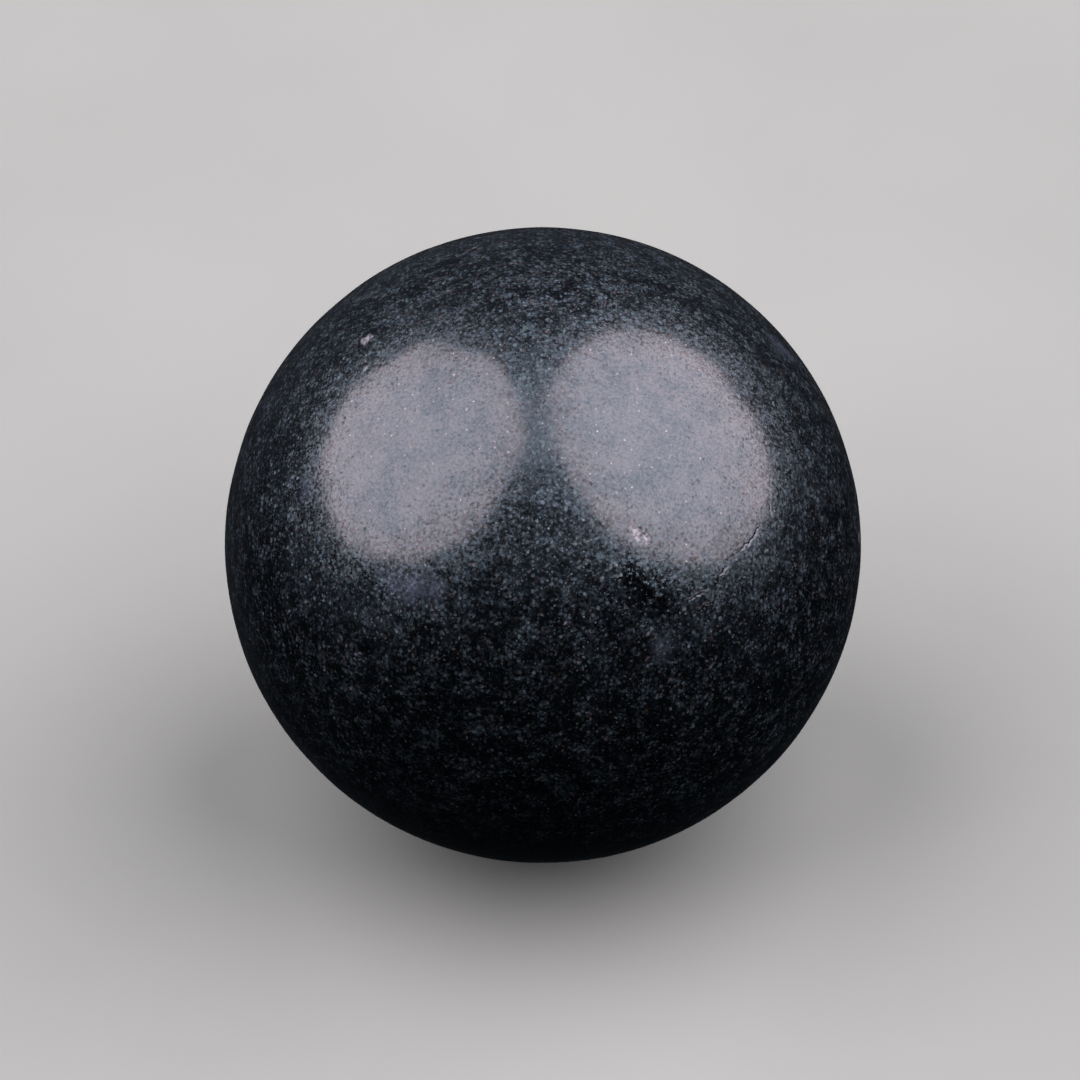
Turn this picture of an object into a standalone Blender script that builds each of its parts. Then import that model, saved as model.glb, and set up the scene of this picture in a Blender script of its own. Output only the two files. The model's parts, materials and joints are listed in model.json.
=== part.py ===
"""Magnetisable cue ball for a coin-operated pool table.

The ball is a resin core inside two pressed-steel cups, with a dark resin cover cast around them.
While the cover is cast, one support pin holds the core and cups at the centre of the mould. The pin
leaves a hole at the bottom pole, and a resin plug fills it.

Units are metres and +Z is up. The origin is the ball's centre.
"""
import math

import bpy

BALL_RADIUS = 0.05715 / 2        # a 2 1/4 in pool ball
COVER_THICKNESS = 0.0050
CUP_THICKNESS = 0.0008           # pressed sheet steel
GAP = 0.0003                     # clearance left between pieces that touch
PIN_HOLE_RADIUS = 0.0025
SOCKET_DEPTH = 0.0060            # how far the pin hole goes into the core
PLUG_CHAMFER = 0.0004            # on the plug's inner end

CUP_RADIUS = BALL_RADIUS - COVER_THICKNESS - GAP
CORE_RADIUS = CUP_RADIUS - CUP_THICKNESS - GAP
PLUG_RADIUS = PIN_HOLE_RADIUS - GAP

STEPS_AROUND = 48                # facets round the vertical axis
ARC_STEP = math.radians(7.5)     # largest facet along a meridian
SHARP_ANGLE = math.radians(30)   # edges sharper than this stay sharp when shaded
MERGE_DISTANCE = 0.00001
UP = 0.0                         # angles from the top pole
EQUATOR = math.pi / 2
DOWN = math.pi


def clear_scene():
    for obj in list(bpy.data.objects):
        bpy.data.objects.remove(obj, do_unlink=True)


def new_collection(name):
    collection = bpy.data.collections.new(name)
    bpy.context.scene.collection.children.link(collection)
    return collection


def material(name, colour, roughness, metallic=0.0):
    mat = bpy.data.materials.new(name)
    mat.use_nodes = True
    mat.diffuse_color = (*colour, 1.0)
    shader = mat.node_tree.nodes["Principled BSDF"]
    shader.inputs["Base Color"].default_value = (*colour, 1.0)
    shader.inputs["Roughness"].default_value = roughness
    shader.inputs["Metallic"].default_value = metallic
    return mat


def arc(radius, start, end):
    """Points (x, z) on a circle about the ball's centre, by their angle from the top pole."""
    steps = max(1, math.ceil(abs(end - start) / ARC_STEP - 1e-6))
    angles = [start + (end - start) * i / steps for i in range(steps + 1)]
    return [(radius * math.sin(a), radius * math.cos(a)) for a in angles]


def angle_at_radius(radius, distance):
    """Angle from the top pole where a circle's lower half is this far from the axis."""
    return math.pi - math.asin(distance / radius)


def angle_at_height(radius, height):
    """Angle from the top pole where a circle is at this height."""
    return math.acos(height / radius)


def turned(name, profile, mat, collection):
    """A body turned round Z from (x, z) points that run down its outer side and back inside.

    A profile whose ends are not both on the axis is closed into a ring.
    """
    mesh = bpy.data.meshes.new(name)
    points = [(x, 0.0, z) for x, z in profile]
    edges = [(i, i + 1) for i in range(len(points) - 1)]
    if profile[0][0] > MERGE_DISTANCE:
        edges.append((len(points) - 1, 0))
    mesh.from_pydata(points, edges, [])
    obj = bpy.data.objects.new(name, mesh)
    collection.objects.link(obj)
    screw = obj.modifiers.new("turn", "SCREW")
    screw.axis = "Z"
    screw.angle = 2 * math.pi
    screw.steps = STEPS_AROUND
    screw.render_steps = STEPS_AROUND
    screw.use_merge_vertices = True
    screw.merge_threshold = MERGE_DISTANCE
    return finish_mesh(obj, mat)


def finish_mesh(obj, mat):
    """Replaces the object's mesh with its modified one, shaded smooth between its sharp edges."""
    bpy.context.view_layer.update()
    evaluated = obj.evaluated_get(bpy.context.evaluated_depsgraph_get())
    mesh = bpy.data.meshes.new_from_object(evaluated)
    mesh.name = obj.name
    obj.modifiers.clear()
    obj.data = mesh
    mesh.shade_smooth()
    mesh.set_sharp_from_angle(angle=SHARP_ANGLE)
    mesh.materials.clear()
    mesh.materials.append(mat)
    return obj


def outer_cover(collection):
    """The cast cover: a thick shell with the support pin's hole at its bottom pole."""
    inner_radius = BALL_RADIUS - COVER_THICKNESS
    outside_top = arc(BALL_RADIUS, UP, EQUATOR)
    outside_base = arc(BALL_RADIUS, EQUATOR, angle_at_radius(BALL_RADIUS, PIN_HOLE_RADIUS))
    inside = arc(inner_radius, angle_at_radius(inner_radius, PIN_HOLE_RADIUS), UP)
    mat = material("cover_resin", (0.012, 0.015, 0.021), 0.22)
    return turned("outer_cover", outside_top + outside_base[1:] + inside, mat, collection)


def upper_steel_cup(mat, collection):
    """The upper half of the steel shell, which stops half a gap above the equator."""
    inner_radius = CUP_RADIUS - CUP_THICKNESS
    outside = arc(CUP_RADIUS, UP, angle_at_height(CUP_RADIUS, GAP / 2))
    inside = arc(inner_radius, angle_at_height(inner_radius, GAP / 2), UP)
    return turned("upper_steel_cup", outside + inside, mat, collection)


def lower_steel_cup(mat, collection):
    """The lower half of the steel shell, pierced at its pole for the support pin."""
    inner_radius = CUP_RADIUS - CUP_THICKNESS
    outside = arc(
        CUP_RADIUS,
        angle_at_height(CUP_RADIUS, -GAP / 2),
        angle_at_radius(CUP_RADIUS, PIN_HOLE_RADIUS),
    )
    inside = arc(
        inner_radius,
        angle_at_radius(inner_radius, PIN_HOLE_RADIUS),
        angle_at_height(inner_radius, -GAP / 2),
    )
    return turned("lower_steel_cup", outside + inside, mat, collection)


def inner_core(collection, cutters):
    """The cast core ball, with a blind socket for the support pin."""
    bpy.ops.mesh.primitive_uv_sphere_add(
        segments=STEPS_AROUND, ring_count=STEPS_AROUND // 2, radius=CORE_RADIUS
    )
    core = bpy.context.object
    core.name = "inner_core"
    move_to(core, collection)

    bpy.ops.mesh.primitive_cylinder_add(
        vertices=STEPS_AROUND,
        radius=PIN_HOLE_RADIUS,
        depth=2 * SOCKET_DEPTH,
        location=(0, 0, -CORE_RADIUS),
    )
    drill = bpy.context.object
    drill.name = "socket_cutter"
    drill.hide_render = True
    drill.display_type = "WIRE"
    move_to(drill, cutters)

    cut = core.modifiers.new("socket", "BOOLEAN")
    cut.operation = "DIFFERENCE"
    cut.solver = "EXACT"
    cut.object = drill
    return finish_mesh(core, material("core_resin", (0.55, 0.50, 0.40), 0.55))


def pin_plug(collection):
    """The dowel that fills the pin's hole, domed to lie flush with the ball."""
    top = -CORE_RADIUS + SOCKET_DEPTH - GAP
    inner_end = [(0.0, top), (PLUG_RADIUS - PLUG_CHAMFER, top), (PLUG_RADIUS, top - PLUG_CHAMFER)]
    dome = arc(BALL_RADIUS, angle_at_radius(BALL_RADIUS, PLUG_RADIUS), DOWN)
    mat = material("plug_resin", (0.016, 0.019, 0.025), 0.35)
    return turned("pin_plug", inner_end + dome, mat, collection)


def move_to(obj, collection):
    for other in list(obj.users_collection):
        other.objects.unlink(obj)
    collection.objects.link(obj)


def build():
    clear_scene()
    parts = new_collection("cue_ball")
    cutters = new_collection("cutters")
    steel = material("pressed_steel", (0.46, 0.46, 0.47), 0.35, metallic=1.0)
    outer_cover(parts)
    upper_steel_cup(steel, parts)
    lower_steel_cup(steel, parts)
    inner_core(parts, cutters)
    pin_plug(parts)


build()
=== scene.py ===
"""The look of the magnetisable cue ball: a polished near-black cover with a fine pale grain.

Everything is in metres in the ball's own frame: the origin is the ball's centre and +Z is up.
A place on the ball is given as (azimuth, elevation) in degrees. Azimuth 0 faces the camera,
along -Y, and 90 faces +X.
"""
import json
import math

import bmesh
import bpy
import numpy as np
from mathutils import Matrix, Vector

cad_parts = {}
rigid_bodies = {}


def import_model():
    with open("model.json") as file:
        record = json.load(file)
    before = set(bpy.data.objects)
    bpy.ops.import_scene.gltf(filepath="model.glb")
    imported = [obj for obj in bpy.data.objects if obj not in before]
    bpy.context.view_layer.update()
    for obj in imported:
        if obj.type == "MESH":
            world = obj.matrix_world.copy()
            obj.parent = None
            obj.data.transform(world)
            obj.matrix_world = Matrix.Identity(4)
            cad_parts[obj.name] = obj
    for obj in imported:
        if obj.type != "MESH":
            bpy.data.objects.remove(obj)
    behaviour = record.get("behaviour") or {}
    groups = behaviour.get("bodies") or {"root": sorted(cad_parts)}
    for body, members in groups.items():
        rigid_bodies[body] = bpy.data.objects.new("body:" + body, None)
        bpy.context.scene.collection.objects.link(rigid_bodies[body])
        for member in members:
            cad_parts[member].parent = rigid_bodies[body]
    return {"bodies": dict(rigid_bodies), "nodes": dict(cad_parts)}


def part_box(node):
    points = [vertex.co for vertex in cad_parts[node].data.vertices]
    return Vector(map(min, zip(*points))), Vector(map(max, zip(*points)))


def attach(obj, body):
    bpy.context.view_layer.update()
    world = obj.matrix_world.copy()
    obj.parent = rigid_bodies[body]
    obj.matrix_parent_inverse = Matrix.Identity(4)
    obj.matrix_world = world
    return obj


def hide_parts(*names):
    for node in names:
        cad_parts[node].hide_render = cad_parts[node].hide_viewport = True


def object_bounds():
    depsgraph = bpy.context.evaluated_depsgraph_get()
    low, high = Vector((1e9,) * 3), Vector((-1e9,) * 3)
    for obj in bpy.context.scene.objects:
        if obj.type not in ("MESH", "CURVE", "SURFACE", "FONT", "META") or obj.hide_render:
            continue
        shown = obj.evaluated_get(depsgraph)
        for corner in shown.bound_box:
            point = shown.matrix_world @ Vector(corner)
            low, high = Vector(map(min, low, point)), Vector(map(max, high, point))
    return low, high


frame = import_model()
cad_low, cad_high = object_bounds()

MM = 0.001
MID_GREY = (0.5, 0.5, 0.5)       # the middle of a random colour
BODY = next(iter(frame["bodies"]))   # the only one, because the ball has no joints
RADIUS = (cad_high.z - cad_low.z) / 2
FLOOR_Z = cad_low.z
_, CUP_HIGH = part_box("lower_steel_cup")
_, PLUG_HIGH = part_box("pin_plug")

# Construction. The CAD leaves this gap all round its plug, and between its cups and its cover.
GAP = 0.3 * MM
HOLE_RADIUS = PLUG_HIGH.x + GAP
INNER_RADIUS = CUP_HIGH.x + GAP  # of the cover
SEAM = 0.04 * MM                 # the hairline left round the fitted plug
EDGE_ROUND = 0.06 * MM           # rounding at the mouth of the hole and on the plug's rim
ROUND_MIDDLE = 0.3               # how far in the middle of that rounding lies, as a share of it
MOUTH_PLAIN = 1.0 * MM           # round the mouth, over which the cover's relief fades out
PLUG_CHAMFER = 0.4 * MM          # on the plug's inner end

# How fine the meshes are.
SPHERE_LEVELS = 7                # icosphere subdivisions, about 0.5 mm an edge
MARK_LEVELS = 3                  # more of them near the marks
PLACE_MARGIN = 1.25              # how far round a mark's middle they reach, in its radii
LINE_MARGIN = 4                  # how far on each side of a crack, in its widths
MOUTH_MARGIN = 1.2 * MM          # how far from the hole's edge the first of them reaches
LEVEL_MARGIN = 0.3 * MM          # added round every mark, less at each level
SMALL_MARK = 0.3 * MM            # only marks below this radius, and cracks, get the last level
INNER_RINGS = 36                 # on the inside, from the hole's edge to the top
PLUG_SEGMENTS = 96
DOME_STEPS = 10                  # from the rim of the plug's end to its middle
FLOOR_SEGMENTS = 96
BACKDROP_LEVELS = 5
MERGE_DISTANCE = 0.001 * MM
COVER_SHARP, PLUG_SHARP = 50, 40    # degrees above which an edge stays sharp when shaded

# Random fields on the ball, made of waves. SEED sets them and the pits.
SEED = 11
WAVE_COUNT = 40                  # in each field
WAVE_LENGTHS = (5 * MM, 14 * MM)        # polishing waves on the whole ball
WAVE_HEIGHT = 0.020 * MM
WAVE_TOP = 0.5                   # of that height, where the waves are cut off
RAGGED_LENGTHS = (0.5 * MM, 1.4 * MM)   # waves that make the edges of the marks uneven
FAINT_LENGTHS = (2 * MM, 5 * MM)        # waves along which the cracks fade in and out
CHIP_RAGGED = 0.16               # how uneven a mark's edge is, as a share of its radius
HOLLOW_RAGGED = 0.20
SOFT_RAGGED = 0.10               # for pits and hazes

# Wear. Each mark has the place of its middle, its radius and its depth.
CHIPS = (                        # flakes broken out, pale inside
    ((22.4, 40), 0.80 * MM, 0.040 * MM),
    ((23.6, 38.6), 0.60 * MM, 0.035 * MM),
    ((85, 6), 0.55 * MM, 0.060 * MM),
    ((83, -9), 0.45 * MM, 0.060 * MM),
    ((-89, 57), 0.60 * MM, 0.020 * MM),
    ((-112, 15), 0.70 * MM, 0.050 * MM),
    ((160, 35), 0.85 * MM, 0.060 * MM),
)
HOLLOWS = (                      # dark places with little grain
    ((18.5, 33), 1.50 * MM, 0.008 * MM),
    ((20.5, 30), 1.90 * MM, 0.014 * MM),
    ((23.5, 26.5), 1.70 * MM, 0.012 * MM),
    ((-35, 14), 0.95 * MM, 0.12 * MM),
    ((132, 20), 1.30 * MM, 0.08 * MM),
    ((-150, 48), 1.00 * MM, 0.07 * MM),
    ((-126, 64), 0.80 * MM, 0.02 * MM),
    ((-133, 66), 0.90 * MM, 0.02 * MM),
    ((-141, 67), 0.85 * MM, 0.02 * MM),
    ((-148, 66), 0.60 * MM, 0.02 * MM),
)
HAZES = (                        # rubbed, bluish smears: how strong, in place of how deep
    ((-31, 28.5), 1.6 * MM, 0.8),
    ((-27, 29), 1.9 * MM, 0.9),
    ((-22.5, 29.5), 1.5 * MM, 0.7),
    ((23, 19), 1.9 * MM, 0.35),
    ((-61, 34), 1.6 * MM, 0.7),
    ((105, 40), 2.4 * MM, 0.5),
    ((-165, 20), 2.2 * MM, 0.6),
)
CREASES = (                      # hairline cracks with a raised lip
    ((56.4, 33.5), (55.4, 31), (54.6, 29.8)),
    ((50.5, 31.2), (49, 30.6), (43.5, 29.7), (38, 28)),
    ((28.6, 25.6), (32, 26.2), (35, 25.6)),
    ((30, 23), (33.2, 24), (36.8, 23.6), (39, 22.6)),
    ((34.5, 51), (36, 49.5), (38.5, 50.5)),
    ((-125, 63.5), (-138, 66.5), (-150, 65.5)),
    ((118, 8), (124, 12), (126, 18), (133, 20)),
)
CREASE_WIDTH = 0.09 * MM
CREASE_DEPTH = 0.024 * MM
CREASE_WANDER = 0.8              # how far a crack strays from its line, in widths
CREASE_STEP = math.radians(1.5)  # between the points of its line
CREASE_REACH = 5                 # how far it can be felt on each side, in widths
LIP_OFFSET = 2                   # of the raised lip from the crack, in widths
LIP_HEIGHT = 0.25                # as a share of the crack's depth
PIT_COUNT = 70                   # small pits scattered over the ball
PIT_RADII = (0.15 * MM, 0.50 * MM)
PIT_SKEW = 1.5                   # above 1, so that there are more small ones than large
PIT_SLOPE = 0.10                 # depth as a share of radius
PIT_HEIGHTS = (-0.9, 0.98)       # above the ball's centre in ball radii, clear of the plug
PALE, BARE, HAZY = 0, 1, 2       # the channels of the wear attribute

# The cover's look. Colours are linear, and each size is about that of one feature.
RESIN_COLOUR = (0.0005, 0.0007, 0.0010, 1.0)
RESIN_ROUGHNESS = (0.27, 0.47)   # without grain, and on it
CROWD_SIZE = 1.8 * MM            # of the areas with more and with less grain
CROWD_SPREAD = 0.11
GRAIN_RISE_PAINTED_LIGHT = (-0.03, 0.045)      # added, from mid-height and below to the top of the ball: painted light, more pale grain on the lit top and less on the darker lower half
GRAIN_WARP = (0.45 * MM, 0.30 * MM)     # waves in the grains' outlines: their size and height
SOFT_GRAIN = 0.42 * MM           # the cloudy body of grain
LARGE_GRAIN = (0.40 * MM, 0.55)  # size, and the random number above which a cell has a grain
SMALL_GRAIN = (0.21 * MM, 0.50)
SMALL_STRENGTH = 0.85            # next to 1 for the large ones
BARE_KEEPS = 0.18                # of the grain in hollows and cracks
GRAIN_PALENESS = 0.072
GRAIN_HUES = (                   # by a random number of each grain: bluish, with a few odd ones
    (0.0, (0.44, 0.77, 0.97)),
    (0.60, (0.50, 0.80, 0.97)),
    (0.90, (0.63, 0.86, 0.98)),
    (0.96, (0.86, 0.68, 0.84)),
    (0.985, (0.45, 1.0, 0.78)),
    (1.0, (0.90, 0.68, 0.50)),
)
LEAN_SIZE = 0.32 * MM
SOFT_LEAN, GRAIN_LEAN = 0.62, 0.55      # how far the cloudy body and a single grain tilt
HAZE_COLOUR = (0.062, 0.088, 0.125, 1.0)
CHIP_COLOUR = (0.27, 0.29, 0.32, 1.0)
FLAKE_SIZE = 0.6 * MM            # of the cells with a metallic flake in some of them
FLAKE_COLOUR = (0.24, 0.26, 0.27, 1.0)
POLISH_PATCHES = (0.46, 0.94)    # the coat's weight where it is thin and where it is thick
POLISH_BREAKS = 0.56             # the most that fine breaks add to it or take from it
POLISH_LOST = 0.22               # of it on the grain

TURNING_PITCH = 0.18 * MM        # of the rings on the plug's end

# Lights: two round soft boxes, above the ball at its left and right.
LIGHT_DISTANCE = 1.2
LIGHTS = {                       # azimuth, elevation and half-angle in degrees, and radiance
    "soft_box_left": (-86.2, 47, 37, 3.0),
    "soft_box_right": (89.6, 48, 40, 3.2),
}
LIGHT_COLOUR = (1.17, 0.91, 0.98)

GLOW_PLACE = (-168, 15)          # of a dim glow behind the ball
GLOW = (                         # cosine of the angle from the glow's middle, and colour
    (0.0, (0.002, 0.003, 0.004)),
    (0.35, (0.004, 0.005, 0.006)),
    (0.70, (0.016, 0.018, 0.022)),
    (1.0, (0.036, 0.040, 0.049)),
)
BACKDROP_COLOUR = (0.60, 0.60, 0.60, 1.0)
BACKDROP_RADIUS = 3.0
FLOOR_FADE = (0.10, 0.55)        # distances over which the floor turns into the backdrop

# Camera.
CAMERA_ELEVATION = 40
CAMERA_DISTANCE = 0.90           # from the ball's centre
SENSOR = 36.0                    # its width in millimetres, as Blender takes it
BALL_SHARE = 0.589               # the ball's width as a share of the picture's
AIM_RIGHT, AIM_UP = -0.009, 0.016   # from the ball's centre to the picture's, in ball radii


def direction(azimuth, elevation):
    """The unit vector from the ball's centre to a place."""
    a, e = math.radians(azimuth), math.radians(elevation)
    return Vector((math.sin(a) * math.cos(e), -math.cos(a) * math.cos(e), math.sin(e)))


def link(name, data):
    obj = bpy.data.objects.new(name, data)
    bpy.context.scene.collection.objects.link(obj)
    return obj


# ---------------------------------------------------------------- node helpers


class Graph:
    """The node tree of a material or world, with short calls for the nodes used here."""

    def __init__(self, owner, shader="Principled BSDF", place="Object"):
        self.owner = owner
        owner.use_nodes = True
        self.nodes = owner.node_tree.nodes
        self.links = owner.node_tree.links
        self.shader = self.nodes[shader]
        self.place = self.node("ShaderNodeTexCoord").outputs[place]

    def node(self, kind, values=None, **settings):
        made = self.nodes.new(kind)
        for key, value in settings.items():
            setattr(made, key, value)
        for key, value in (values or {}).items():
            self.put(made.inputs[key], value)
        return made

    def put(self, socket, value):
        """Links an output to this socket, or sets a plain value on it."""
        if isinstance(value, bpy.types.NodeSocket):
            self.links.new(value, socket)
        else:
            socket.default_value = value

    def math(self, operation, *values, clamp=False):
        made = self.node("ShaderNodeMath", operation=operation, use_clamp=clamp)
        for socket, value in zip(made.inputs, values):
            self.put(socket, value)
        return made.outputs["Value"]

    def vector(self, operation, *values, scale=None):
        made = self.node("ShaderNodeVectorMath", operation=operation)
        for socket, value in zip(made.inputs, values):
            self.put(socket, value)
        if scale is not None:
            self.put(made.inputs["Scale"], scale)
        return made.outputs["Value" if operation in ("LENGTH", "DOT_PRODUCT") else "Vector"]

    def ramp(self, value, low, high, to_low=0.0, to_high=1.0, smooth=True):
        """A value that goes from to_low to to_high as the input goes from low to high."""
        made = self.node(
            "ShaderNodeMapRange",
            {"From Min": low, "From Max": high, "To Min": to_low, "To Max": to_high},
            interpolation_type="SMOOTHSTEP" if smooth else "LINEAR",
        )
        self.put(made.inputs["Value"], value)
        return made.outputs["Result"]

    def noise(self, size, detail=2.0, roughness=0.5, place=None, distortion=0.0, output="Fac"):
        """Fractal noise with features of about this size in metres."""
        made = self.node(
            "ShaderNodeTexNoise",
            {
                "Vector": self.place if place is None else place,
                "Scale": 1 / size,
                "Detail": detail,
                "Roughness": roughness,
                "Distortion": distortion,
            },
        )
        return made.outputs[output]

    def warped(self, size, distance):
        """The place moved about by noise, up to about half this distance."""
        return self.vector("ADD", self.place, self.leaning(self.noise(size, output="Color"), distance))

    def cells(self, size, place=None):
        """Voronoi cells of about this size in metres: distance from the middle, and own colour."""
        made = self.node("ShaderNodeTexVoronoi", {"Scale": 1 / size})
        self.put(made.inputs["Vector"], self.place if place is None else place)
        return made.outputs["Distance"], made.outputs["Color"]

    def channels(self, colour):
        """A colour's red, green and blue."""
        made = self.node("ShaderNodeSeparateColor")
        self.put(made.inputs["Color"], colour)
        return [made.outputs[name] for name in ("Red", "Green", "Blue")]

    def leaning(self, colour, scale):
        """A random colour as a small push to any side."""
        return self.vector("SCALE", self.vector("SUBTRACT", colour, MID_GREY), scale=scale)

    def mix(self, factor, first, second):
        made = self.node("ShaderNodeMix", data_type="RGBA")
        self.put(made.inputs["Factor"], factor)
        self.put(made.inputs["A"], first)
        self.put(made.inputs["B"], second)
        return made.outputs["Result"]

    def colours(self, value, stops):
        """A colour ramp through stops of (position, colour)."""
        made = self.node("ShaderNodeValToRGB", {"Fac": value})
        elements = made.color_ramp.elements
        while len(elements) < len(stops):
            elements.new(1.0)
        for element, (position, colour) in zip(elements, stops):
            element.position = position
            element.color = (*colour, 1.0)
        return made.outputs["Color"]

    def bump(self, height, distance, strength=1.0):
        values = {"Height": height, "Distance": distance, "Strength": strength}
        return self.node("ShaderNodeBump", values).outputs["Normal"]

    def set(self, **values):
        """Sets the shader's sockets, named with _ in place of each space."""
        for key, value in values.items():
            self.put(self.shader.inputs[key.replace("_", " ")], value)


# ---------------------------------------------------------------- materials


def single_grains(g, place, crowd, size, few):
    """Single grains of one size: their strength, and each one's own random colour.

    A grain shows only where its random number, raised by the crowd, is above `few`.
    """
    distance, colour = g.cells(size, place)
    red, _, _ = g.channels(colour)
    lot = g.ramp(g.math("ADD", red, g.math("MULTIPLY", crowd, 2.0)), few, 1.15)
    shape = g.ramp(distance, 0.20, 0.62, 1.0, 0.0)
    return g.math("MULTIPLY", lot, shape), colour


def cover_grain(g, bare):
    """The grain's strength, its colour and the way it leans: a cloudy body, and single grains, with
    more of them towards the top as painted light.
    """
    uneven = g.noise(CROWD_SIZE, detail=4, roughness=0.75)
    crowd = g.ramp(uneven, 0.3, 0.7, -CROWD_SPREAD, CROWD_SPREAD)
    height = g.node("ShaderNodeSeparateXYZ", {"Vector": g.place}).outputs["Z"]
    # More grain towards the top, less below mid-height: painted light that makes the top paler and the
    # lower half darker.
    crowd = g.math("ADD", crowd, g.ramp(height, 0.0, RADIUS, *GRAIN_RISE_PAINTED_LIGHT, smooth=False))

    level = g.math("ADD", g.noise(SOFT_GRAIN, detail=3, roughness=0.7, distortion=0.25), crowd)
    soft = g.math("POWER", g.ramp(level, 0.42, 0.86, smooth=False), 2.0)
    place = g.warped(*GRAIN_WARP)
    large, large_colour = single_grains(g, place, crowd, *LARGE_GRAIN)
    small, small_colour = single_grains(g, place, crowd, *SMALL_GRAIN)
    single = g.math("ADD", large, g.math("MULTIPLY", small, SMALL_STRENGTH))
    kept = g.ramp(bare, 0.0, 1.0, 1.0, BARE_KEEPS, smooth=False)
    grain = g.math("MULTIPLY", g.math("ADD", soft, single), kept)

    _, green, _ = g.channels(large_colour)
    pale = g.vector("SCALE", g.colours(green, GRAIN_HUES), scale=GRAIN_PALENESS)

    lean = g.leaning(g.noise(LEAN_SIZE, detail=2, roughness=0.6, output="Color"), SOFT_LEAN)
    for colour, strength in ((large_colour, large), (small_colour, small)):
        own = g.leaning(colour, g.math("MULTIPLY", strength, GRAIN_LEAN))
        lean = g.vector("ADD", lean, own)
    return grain, pale, lean


def cover_colour(g, grain, pale, broken, haze):
    """The colour with haze, pale broken resin and small metallic flakes, and where the flakes are."""
    colour = g.mix(grain, RESIN_COLOUR, pale)
    thin = g.ramp(g.noise(0.5 * MM, detail=3), 0.3, 0.6, 0.35, 1.0)
    colour = g.mix(g.math("MULTIPLY", haze, thin), colour, HAZE_COLOUR)
    patchy = g.ramp(g.noise(0.35 * MM, detail=3), 0.35, 0.65, 0.1, 1.0)
    colour = g.mix(g.math("MULTIPLY", broken, patchy), colour, CHIP_COLOUR)
    distance, own = g.cells(FLAKE_SIZE)
    red, _, _ = g.channels(own)
    flake = g.math("MULTIPLY", g.ramp(distance, 0.05, 0.22, 1.0, 0.0), g.ramp(red, 0.40, 1.0))
    return g.mix(flake, colour, FLAKE_COLOUR), flake


def cover_roughness(g, grain, broken, bare):
    """Rougher on the grain and in the chips, smoother where the grain is missing."""
    smudge = g.ramp(g.noise(7 * MM, detail=3), 0.3, 0.7, -0.03, 0.03)
    rough = g.math("ADD", g.ramp(grain, 0.0, 0.7, *RESIN_ROUGHNESS, smooth=False), smudge)
    rough = g.math("ADD", rough, g.math("MULTIPLY", broken, 0.25))
    return g.math("SUBTRACT", rough, g.math("MULTIPLY", bare, 0.15))


def cover_polish(g, grain):
    """How much polish there is: worn thin in patches, and broken over the grain."""
    patchy = g.ramp(g.noise(3.0 * MM, detail=5, roughness=0.7), 0.3, 0.7, *POLISH_PATCHES)
    fine = g.noise(0.24 * MM, detail=3, roughness=0.7)
    fine = g.ramp(fine, 0.3, 0.7, -POLISH_BREAKS, POLISH_BREAKS, smooth=False)
    lost = g.math("MULTIPLY", grain, POLISH_LOST)
    return g.math("SUBTRACT", g.math("ADD", patchy, fine), lost, clamp=True)


def cover_material():
    """Dark resin under a clear polish, with a fine pale grain, thick and thin in turns."""
    g = Graph(bpy.data.materials.new("cover_resin"))
    wear = g.node("ShaderNodeAttribute", attribute_name="wear").outputs["Color"]
    broken, bare, haze = g.channels(wear)
    grain, pale, lean = cover_grain(g, bare)
    colour, flake = cover_colour(g, grain, pale, broken, haze)
    normal = g.node("ShaderNodeNewGeometry").outputs["Normal"]
    g.set(
        Base_Color=colour,
        Metallic=flake,
        Roughness=cover_roughness(g, grain, broken, bare),
        IOR=1.77,
        Specular_Tint=(0.50, 0.80, 0.94, 1.0),
        Normal=g.vector("NORMALIZE", g.vector("ADD", normal, lean)),
        Coat_Weight=cover_polish(g, grain),
        Coat_Roughness=0.14,
        Coat_IOR=1.58,
        Coat_Normal=g.bump(g.noise(0.45 * MM, detail=3), 0.012 * MM),
    )
    return g.owner


def plug_material():
    """Plain dark resin, mottled, with the fine rings that turning leaves."""
    g = Graph(bpy.data.materials.new("plug_resin"))
    across = g.vector("LENGTH", g.vector("MULTIPLY", g.place, (1.0, 1.0, 0.0)))
    rings = g.math("SINE", g.math("MULTIPLY", across, 2 * math.pi / TURNING_PITCH))
    mottle = g.noise(0.5 * MM, detail=4, roughness=0.6)
    g.set(
        Base_Color=g.colours(mottle, [(0.3, (0.008, 0.010, 0.014)), (0.75, (0.035, 0.040, 0.050))]),
        Roughness=g.ramp(mottle, 0.3, 0.7, 0.28, 0.5),
        IOR=1.6,
        Normal=g.bump(rings, 0.003 * MM, 0.6),
    )
    return g.owner


def steel_material():
    """Pressed sheet steel: drawing lines up the cup's side, a blotchy tone and some rust spots."""
    g = Graph(bpy.data.materials.new("pressed_steel"))
    stretched = g.vector("MULTIPLY", g.place, (1.0, 1.0, 0.06))
    lines = g.noise(0.25 * MM, detail=5, roughness=0.65, place=stretched)
    blotch = g.noise(6 * MM, detail=4, roughness=0.6)
    rust = g.ramp(g.noise(1.6 * MM, detail=6, roughness=0.7), 0.66, 0.74)
    steel = g.colours(blotch, [(0.3, (0.33, 0.33, 0.34)), (0.7, (0.55, 0.55, 0.55))])
    g.set(
        Base_Color=g.mix(rust, steel, (0.16, 0.06, 0.025, 1.0)),
        Metallic=g.ramp(rust, 0.0, 1.0, 1.0, 0.1, smooth=False),
        Roughness=g.math("ADD", g.ramp(lines, 0.3, 0.7, 0.26, 0.44), g.math("MULTIPLY", rust, 0.35)),
        Normal=g.bump(lines, 0.01 * MM, 0.5),
    )
    return g.owner


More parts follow.
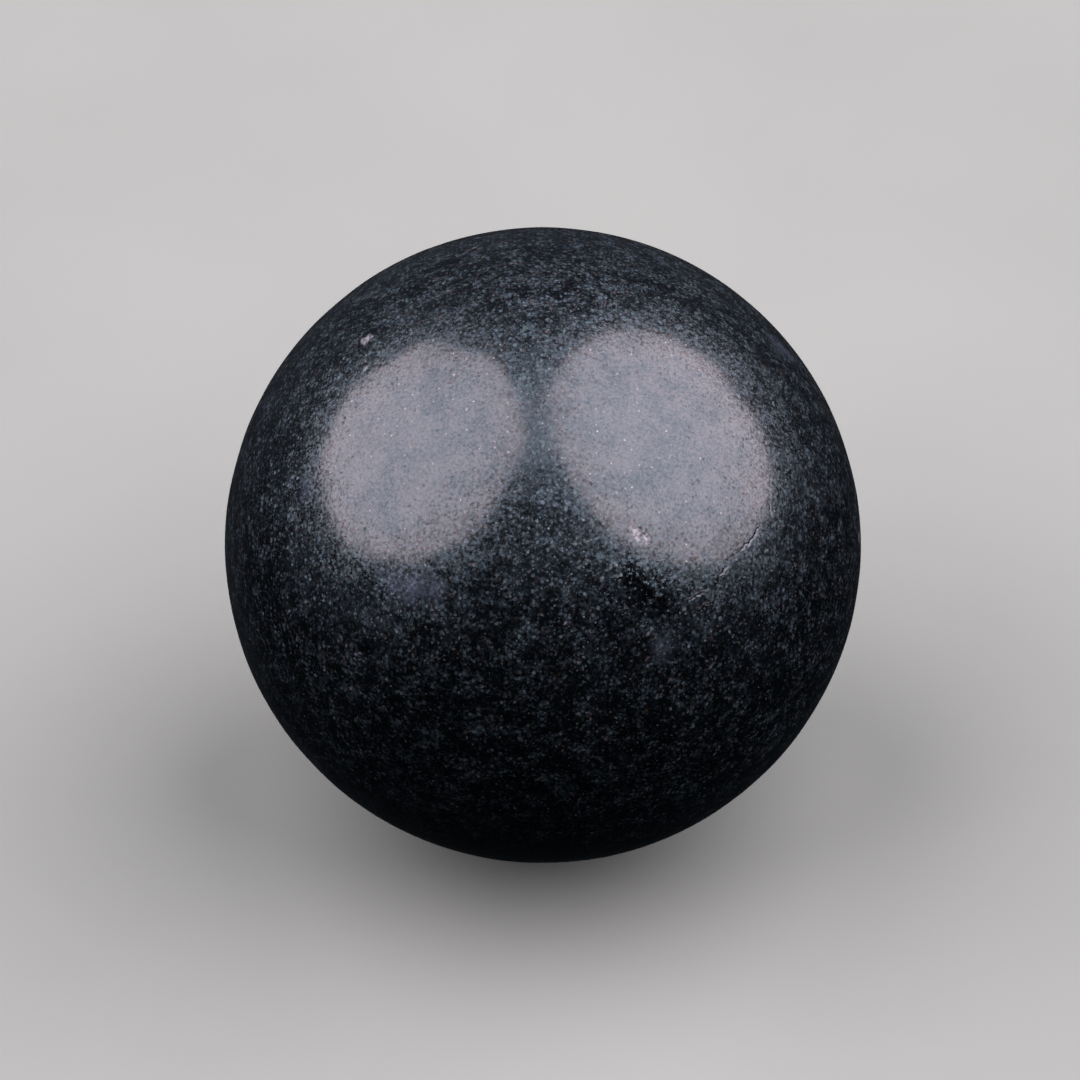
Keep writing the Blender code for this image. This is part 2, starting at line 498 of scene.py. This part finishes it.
def core_material():
    """Cast filler resin: cloudy flow marks with pin-hole bubbles."""
    g = Graph(bpy.data.materials.new("core_resin"))
    flow = g.noise(9 * MM, detail=5, roughness=0.62)
    speck = g.noise(0.5 * MM, detail=3)
    distance, _ = g.cells(2.4 * MM)
    bubbles = g.ramp(distance, 0.05, 0.14, 1.0, 0.0)
    body = g.colours(flow, [(0.3, (0.42, 0.36, 0.26)), (0.7, (0.60, 0.55, 0.44))])
    g.set(
        Base_Color=g.mix(g.math("MULTIPLY", bubbles, 0.6), body, (0.2, 0.16, 0.11, 1.0)),
        Roughness=g.ramp(speck, 0.3, 0.7, 0.45, 0.68),
        Normal=g.bump(g.math("SUBTRACT", speck, bubbles), 0.03 * MM, 0.6),
    )
    return g.owner


def floor_material():
    """Pale card that runs into the backdrop: it glows to the backdrop's tone far from the ball."""
    g = Graph(bpy.data.materials.new("floor_card"))
    tone = g.noise(60 * MM, detail=3)
    card = g.colours(tone, [(0.35, (0.276, 0.346, 0.321)), (0.65, (0.296, 0.369, 0.343))])
    far = g.ramp(g.vector("LENGTH", g.place), *FLOOR_FADE)
    g.set(
        Base_Color=g.mix(far, card, (0.0, 0.0, 0.0, 1.0)),
        Roughness=0.9,
        Specular_IOR_Level=0.0,
        Emission_Color=BACKDROP_COLOUR,
        Emission_Strength=far,
        Normal=g.bump(g.noise(0.6 * MM, detail=3), 0.02 * MM, 0.5),
    )
    return g.owner


def backdrop_material():
    """A plain pale surround that glows by itself, with hardly any variation."""
    g = Graph(bpy.data.materials.new("backdrop"))
    tone = g.ramp(g.noise(0.5), 0.3, 0.7, 0.96, 1.0)
    g.set(Base_Color=(0, 0, 0, 1), Emission_Color=BACKDROP_COLOUR, Emission_Strength=tone)
    return g.owner


# ---------------------------------------------------------------- meshes


def plane_waves(directions, rng, lengths):
    """A smooth random field on the ball, of about unit size: a sum of plane waves."""
    total = np.zeros(len(directions))
    for _ in range(WAVE_COUNT):
        axis = rng.normal(size=3)
        axis /= np.linalg.norm(axis)
        turns = RADIUS * 2 * math.pi / rng.uniform(*lengths)
        total += np.cos(directions @ axis * turns + rng.uniform(0, 2 * math.pi))
    return total / math.sqrt(WAVE_COUNT / 2)


def distance_to(directions, place):
    """Distance along the surface to a place."""
    return RADIUS * np.arccos(np.clip(directions @ np.array(direction(*place)), -1, 1))


def line_points(line):
    """Close-set directions along a line of places."""
    corners = [direction(*place) for place in line]
    points = [corners[0]]
    for start, end in zip(corners, corners[1:]):
        steps = math.ceil(start.angle(end) / CREASE_STEP)
        points += [start.slerp(end, i / steps) for i in range(1, steps + 1)]
    return np.array(points)


def distance_to_line(directions, line):
    """Distance to a line of places, and the side of it, 1 or -1."""
    nearest = np.full(len(directions), np.inf)
    side = np.zeros(len(directions))
    points = line_points(line)
    for start, end in zip(points, points[1:]):
        step = end - start
        along = np.clip((directions - start) @ step / (step @ step), 0, 1)
        gap = np.linalg.norm(directions - start - along[:, None] * step, axis=1) * RADIUS
        closer = gap < nearest
        nearest[closer] = gap[closer]
        side[closer] = np.sign(directions[closer] @ np.cross(start, end))
    return nearest, side


def random_pits(rng):
    """Small pits as (place, radius, depth), more small ones than large."""
    pits = []
    for _ in range(PIT_COUNT):
        place = (rng.uniform(-180, 180), math.degrees(math.asin(rng.uniform(*PIT_HEIGHTS))))
        radius = PIT_RADII[0] * (PIT_RADII[1] / PIT_RADII[0]) ** rng.uniform() ** PIT_SKEW
        pits.append((place, radius, PIT_SLOPE * radius))
    return pits


def smooth(low, high, values):
    """0 below low and 1 above high, with an eased step between them."""
    t = np.clip((values - low) / (high - low), 0, 1)
    return t * t * (3 - 2 * t)


def add_wear(wear, channel, amount):
    wear[:, channel] = np.maximum(wear[:, channel], amount)


def relief(directions, pits):
    """Height of the surface above the true sphere, and the wear there as a colour.

    The wear's red is pale broken resin, its green a place without grain and its blue haze.
    """
    rng = np.random.default_rng(SEED)
    waves = plane_waves(directions, rng, WAVE_LENGTHS)
    ragged = plane_waves(directions, rng, RAGGED_LENGTHS)
    faint = plane_waves(directions, rng, FAINT_LENGTHS)
    height = WAVE_HEIGHT * np.minimum(waves, WAVE_TOP)
    wear = np.zeros((len(directions), 4))
    wear[:, 3] = 1
    for place, radius, depth in CHIPS:
        inward = 1 - distance_to(directions, place) / radius + CHIP_RAGGED * ragged
        height -= depth * smooth(0.0, 0.6, inward) * (0.8 + 0.25 * ragged)
        add_wear(wear, PALE, smooth(-0.1, 0.4, inward))
    for place, radius, depth in HOLLOWS:
        inward = 1 - distance_to(directions, place) / radius + HOLLOW_RAGGED * ragged
        height -= depth * smooth(0.0, 1.0, inward)
        add_wear(wear, BARE, smooth(-0.1, 0.75, inward))
    for place, radius, depth in pits:
        inward = 1 - (distance_to(directions, place) / radius) ** 2 + SOFT_RAGGED * ragged
        height -= depth * np.clip(inward, 0, 1)
    for place, radius, strength in HAZES:
        inward = 1 - distance_to(directions, place) / radius + SOFT_RAGGED * ragged
        add_wear(wear, HAZY, strength * smooth(0.0, 1.0, inward))
    for line in CREASES:
        gap, side = distance_to_line(directions, line)
        across = side * gap / CREASE_WIDTH + CREASE_WANDER * ragged
        strength = np.clip(0.7 + 0.5 * faint, 0, 1) * (gap < CREASE_REACH * CREASE_WIDTH)
        groove = strength * np.exp(-(across ** 2))
        lip = strength * np.exp(-((across - LIP_OFFSET) ** 2))
        height -= CREASE_DEPTH * (groove - LIP_HEIGHT * lip)
        add_wear(wear, BARE, 0.9 * groove)
        add_wear(wear, PALE, 0.4 * lip)
    return height, wear


def near_marks(middles, level, pits):
    """True for places that need smaller faces: near the hole's mouth and the marks."""
    across = np.hypot(middles[:, 0], middles[:, 1]) * RADIUS
    last = level == MARK_LEVELS - 1
    near = np.zeros(len(middles), bool)
    if not last:
        reach = MOUTH_MARGIN - LEVEL_MARGIN * level
        near = (middles[:, 2] < 0) & (np.abs(across - HOLE_RADIUS) < reach)
    margin = LEVEL_MARGIN / (level + 1)
    for place, radius, _ in (*CHIPS, *HOLLOWS, *pits):
        if not last or radius < SMALL_MARK:
            near |= distance_to(middles, place) < PLACE_MARGIN * radius + margin
    for line in CREASES:
        near |= distance_to_line(middles, line)[0] < LINE_MARGIN * CREASE_WIDTH + margin
    return near


def ring_height(sphere_radius, radius):
    """The height at which a sphere's lower side is this far from the axis."""
    return -math.sqrt(sphere_radius ** 2 - radius ** 2)


def unit_positions(bm):
    """The direction of each vertex from the ball's centre."""
    points = np.array([v.co for v in bm.verts])
    return points / np.linalg.norm(points, axis=1)[:, None]


def refine(bm, pits):
    """Splits the edges near the marks, keeping the new points on the sphere."""
    for level in range(MARK_LEVELS):
        bm.verts.index_update()
        points = unit_positions(bm)
        middles = points[[[v.index for v in e.verts] for e in bm.edges]].mean(1)
        middles /= np.linalg.norm(middles, axis=1)[:, None]
        wanted = near_marks(middles, level, pits)
        edges = [e for e, chosen in zip(bm.edges, wanted) if chosen]
        bmesh.ops.subdivide_edges(bm, edges=edges, cuts=1, use_grid_fill=True)
        for v in bm.verts:
            v.co = v.co.normalized() * RADIUS
        bmesh.ops.triangulate(bm, faces=[f for f in bm.faces if len(f.verts) > 3])


def next_ring(bm, edges, radius, height):
    """Extrudes a ring of edges to another radius and height, and returns the new ring."""
    made = bmesh.ops.extrude_edge_only(bm, edges=edges)["geom"]
    for v in (m for m in made if isinstance(m, bmesh.types.BMVert)):
        flat = Vector((v.co.x, v.co.y)).normalized() * radius
        v.co = Vector((*flat, height))
    return [m for m in made if isinstance(m, bmesh.types.BMEdge)]


def mesh_from(bm, name):
    mesh = bpy.data.meshes.new(name)
    bm.to_mesh(mesh)
    bm.free()
    return mesh


def smooth_mesh(bm, name, sharp):
    """A closed piece's mesh, shaded smooth but for the edges above this angle in degrees."""
    bmesh.ops.recalc_face_normals(bm, faces=bm.faces)
    mesh = mesh_from(bm, name)
    mesh.shade_smooth()
    mesh.set_sharp_from_angle(angle=math.radians(sharp))
    return mesh


def cover_outside(bm):
    """The worn sphere down to the mouth of the pin hole, and the ring of edges there."""
    pits = random_pits(np.random.default_rng(SEED + 1))
    bmesh.ops.create_icosphere(bm, subdivisions=SPHERE_LEVELS, radius=RADIUS)
    refine(bm, pits)

    mouth = HOLE_RADIUS + EDGE_ROUND
    inside = [v for v in bm.verts if v.co.z < 0 and math.hypot(v.co.x, v.co.y) < mouth]
    bmesh.ops.delete(bm, geom=inside, context="VERTS")
    directions = unit_positions(bm)
    height, wear = relief(directions, pits)
    from_mouth = np.hypot(directions[:, 0], directions[:, 1]) * RADIUS - mouth
    height *= np.where(directions[:, 2] < 0, smooth(0, MOUTH_PLAIN, from_mouth), 1)
    layer = bm.verts.layers.float_color.new("wear")
    for v, way, rise, marks in zip(bm.verts, directions, height, wear):
        v.co = Vector(way * (RADIUS + rise))
        v[layer] = marks

    rim = [e for e in bm.edges if e.is_boundary]
    for v in {v for e in rim for v in e.verts}:
        flat = Vector((v.co.x, v.co.y)).normalized() * mouth
        v.co = Vector((*flat, ring_height(RADIUS, mouth)))
    return rim


def cover_mesh():
    """A closed shell: the fine outside, the pin hole's wall and the plain inside."""
    bm = bmesh.new()
    ring = cover_outside(bm)
    edge = ring_height(RADIUS, HOLE_RADIUS)
    middle = ROUND_MIDDLE * EDGE_ROUND
    ring = next_ring(bm, ring, HOLE_RADIUS + middle, edge + middle)
    ring = next_ring(bm, ring, HOLE_RADIUS, edge + EDGE_ROUND)
    start = math.pi - math.asin(HOLE_RADIUS / INNER_RADIUS)
    for i in range(INNER_RINGS):
        angle = start * (1 - i / INNER_RINGS)
        ring = next_ring(bm, ring, INNER_RADIUS * math.sin(angle), INNER_RADIUS * math.cos(angle))
    crown = bmesh.ops.contextual_create(bm, geom=ring)
    bmesh.ops.poke(bm, faces=crown["faces"])
    return smooth_mesh(bm, "cue_ball_cover", COVER_SHARP)


def plug_mesh():
    """The fitted plug: a turned dowel whose domed end is flush with the ball."""
    radius = HOLE_RADIUS - SEAM
    rim = math.asin((radius - EDGE_ROUND) / RADIUS)
    dome = [rim * (1 - i / DOME_STEPS) for i in range(DOME_STEPS + 1)]
    profile = [
        (0.0, PLUG_HIGH.z),
        (radius - PLUG_CHAMFER, PLUG_HIGH.z),
        (radius, PLUG_HIGH.z - PLUG_CHAMFER),
        (radius, ring_height(RADIUS, radius) + EDGE_ROUND),
    ]
    profile += [(RADIUS * math.sin(a), -RADIUS * math.cos(a)) for a in dome]
    bm = bmesh.new()
    verts = [bm.verts.new((x, 0, z)) for x, z in profile]
    edges = [bm.edges.new(pair) for pair in zip(verts, verts[1:])]
    bmesh.ops.spin(
        bm,
        geom=verts + edges,
        cent=(0, 0, 0),
        axis=(0, 0, 1),
        angle=2 * math.pi,
        steps=PLUG_SEGMENTS,
        use_merge=True,
    )
    bmesh.ops.remove_doubles(bm, verts=bm.verts, dist=MERGE_DISTANCE)
    return smooth_mesh(bm, "fitted_plug", PLUG_SHARP)


# ---------------------------------------------------------------- the object


def add_piece(name, mesh, material, node):
    """A piece that stands for a CAD node."""
    piece = link(name, mesh)
    mesh.materials.append(material)
    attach(piece, BODY)
    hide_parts(node)


def recolour(node, material):
    """Gives a CAD node that stays as it is a better material."""
    frame["nodes"][node].material_slots[0].material = material


# ---------------------------------------------------------------- the scene


def add_stage_piece(name, mesh, material):
    """A piece of the surroundings, which the ball neither mirrors nor gets light from."""
    piece = link(name, mesh)
    mesh.materials.append(material)
    piece.visible_glossy = False
    piece.visible_diffuse = False
    return piece


def add_stage():
    """The floor, which takes the ball's shadow, and a pale dome round it."""
    bm = bmesh.new()
    bmesh.ops.create_circle(bm, cap_ends=True, segments=FLOOR_SEGMENTS, radius=BACKDROP_RADIUS)
    floor = add_stage_piece("floor", mesh_from(bm, "floor"), floor_material())
    floor.location.z = FLOOR_Z
    bm = bmesh.new()
    bmesh.ops.create_icosphere(bm, subdivisions=BACKDROP_LEVELS, radius=BACKDROP_RADIUS)
    dome = add_stage_piece("backdrop", mesh_from(bm, "backdrop"), backdrop_material())
    dome.data.shade_smooth()
    dome.visible_shadow = False


def add_lights():
    """Round lamps that face the ball, unseen by the camera."""
    for name, (azimuth, elevation, half_angle, radiance) in LIGHTS.items():
        light = bpy.data.lights.new(name, "AREA")
        radius = LIGHT_DISTANCE * math.tan(math.radians(half_angle))
        area = math.pi * radius ** 2
        light.shape = "DISK"
        light.size = 2 * radius
        light.energy = radiance * math.pi * area    # the power that gives this radiance
        light.color = LIGHT_COLOUR
        lamp = link(name, light)
        towards = direction(azimuth, elevation)
        lamp.location = towards * LIGHT_DISTANCE
        lamp.rotation_euler = towards.to_track_quat("Z", "Y").to_euler()
        lamp.visible_camera = False


def add_world():
    """What the polish mirrors besides the lights: a dim glow behind the ball, dark elsewhere."""
    world = bpy.data.worlds.new("dim_studio")
    bpy.context.scene.world = world
    g = Graph(world, "Background", "Generated")
    towards = g.vector("DOT_PRODUCT", g.place, direction(*GLOW_PLACE))
    g.set(Color=g.colours(towards, GLOW))


def add_camera():
    """The camera, with the lens that gives the ball's outline its share of the picture."""
    camera = bpy.data.cameras.new("camera")
    camera.sensor_width = SENSOR
    to_outline = math.sqrt(CAMERA_DISTANCE ** 2 - RADIUS ** 2)
    camera.lens = SENSOR * BALL_SHARE * to_outline / (2 * RADIUS)
    obj = link("camera", camera)
    back = direction(0, CAMERA_ELEVATION)
    turn = back.to_track_quat("Z", "Y")
    aim = turn @ Vector((AIM_RIGHT, AIM_UP, 0)) * RADIUS
    obj.location = back * CAMERA_DISTANCE + aim
    obj.rotation_euler = turn.to_euler()
    bpy.context.scene.camera = obj
    bpy.context.scene.view_settings.view_transform = "Standard"


add_camera()
add_world()
add_lights()
add_stage()

add_piece("cue_ball_cover", cover_mesh(), cover_material(), "outer_cover")
add_piece("fitted_plug", plug_mesh(), plug_material(), "pin_plug")
steel = steel_material()
recolour("upper_steel_cup", steel)
recolour("lower_steel_cup", steel)
recolour("inner_core", core_material())
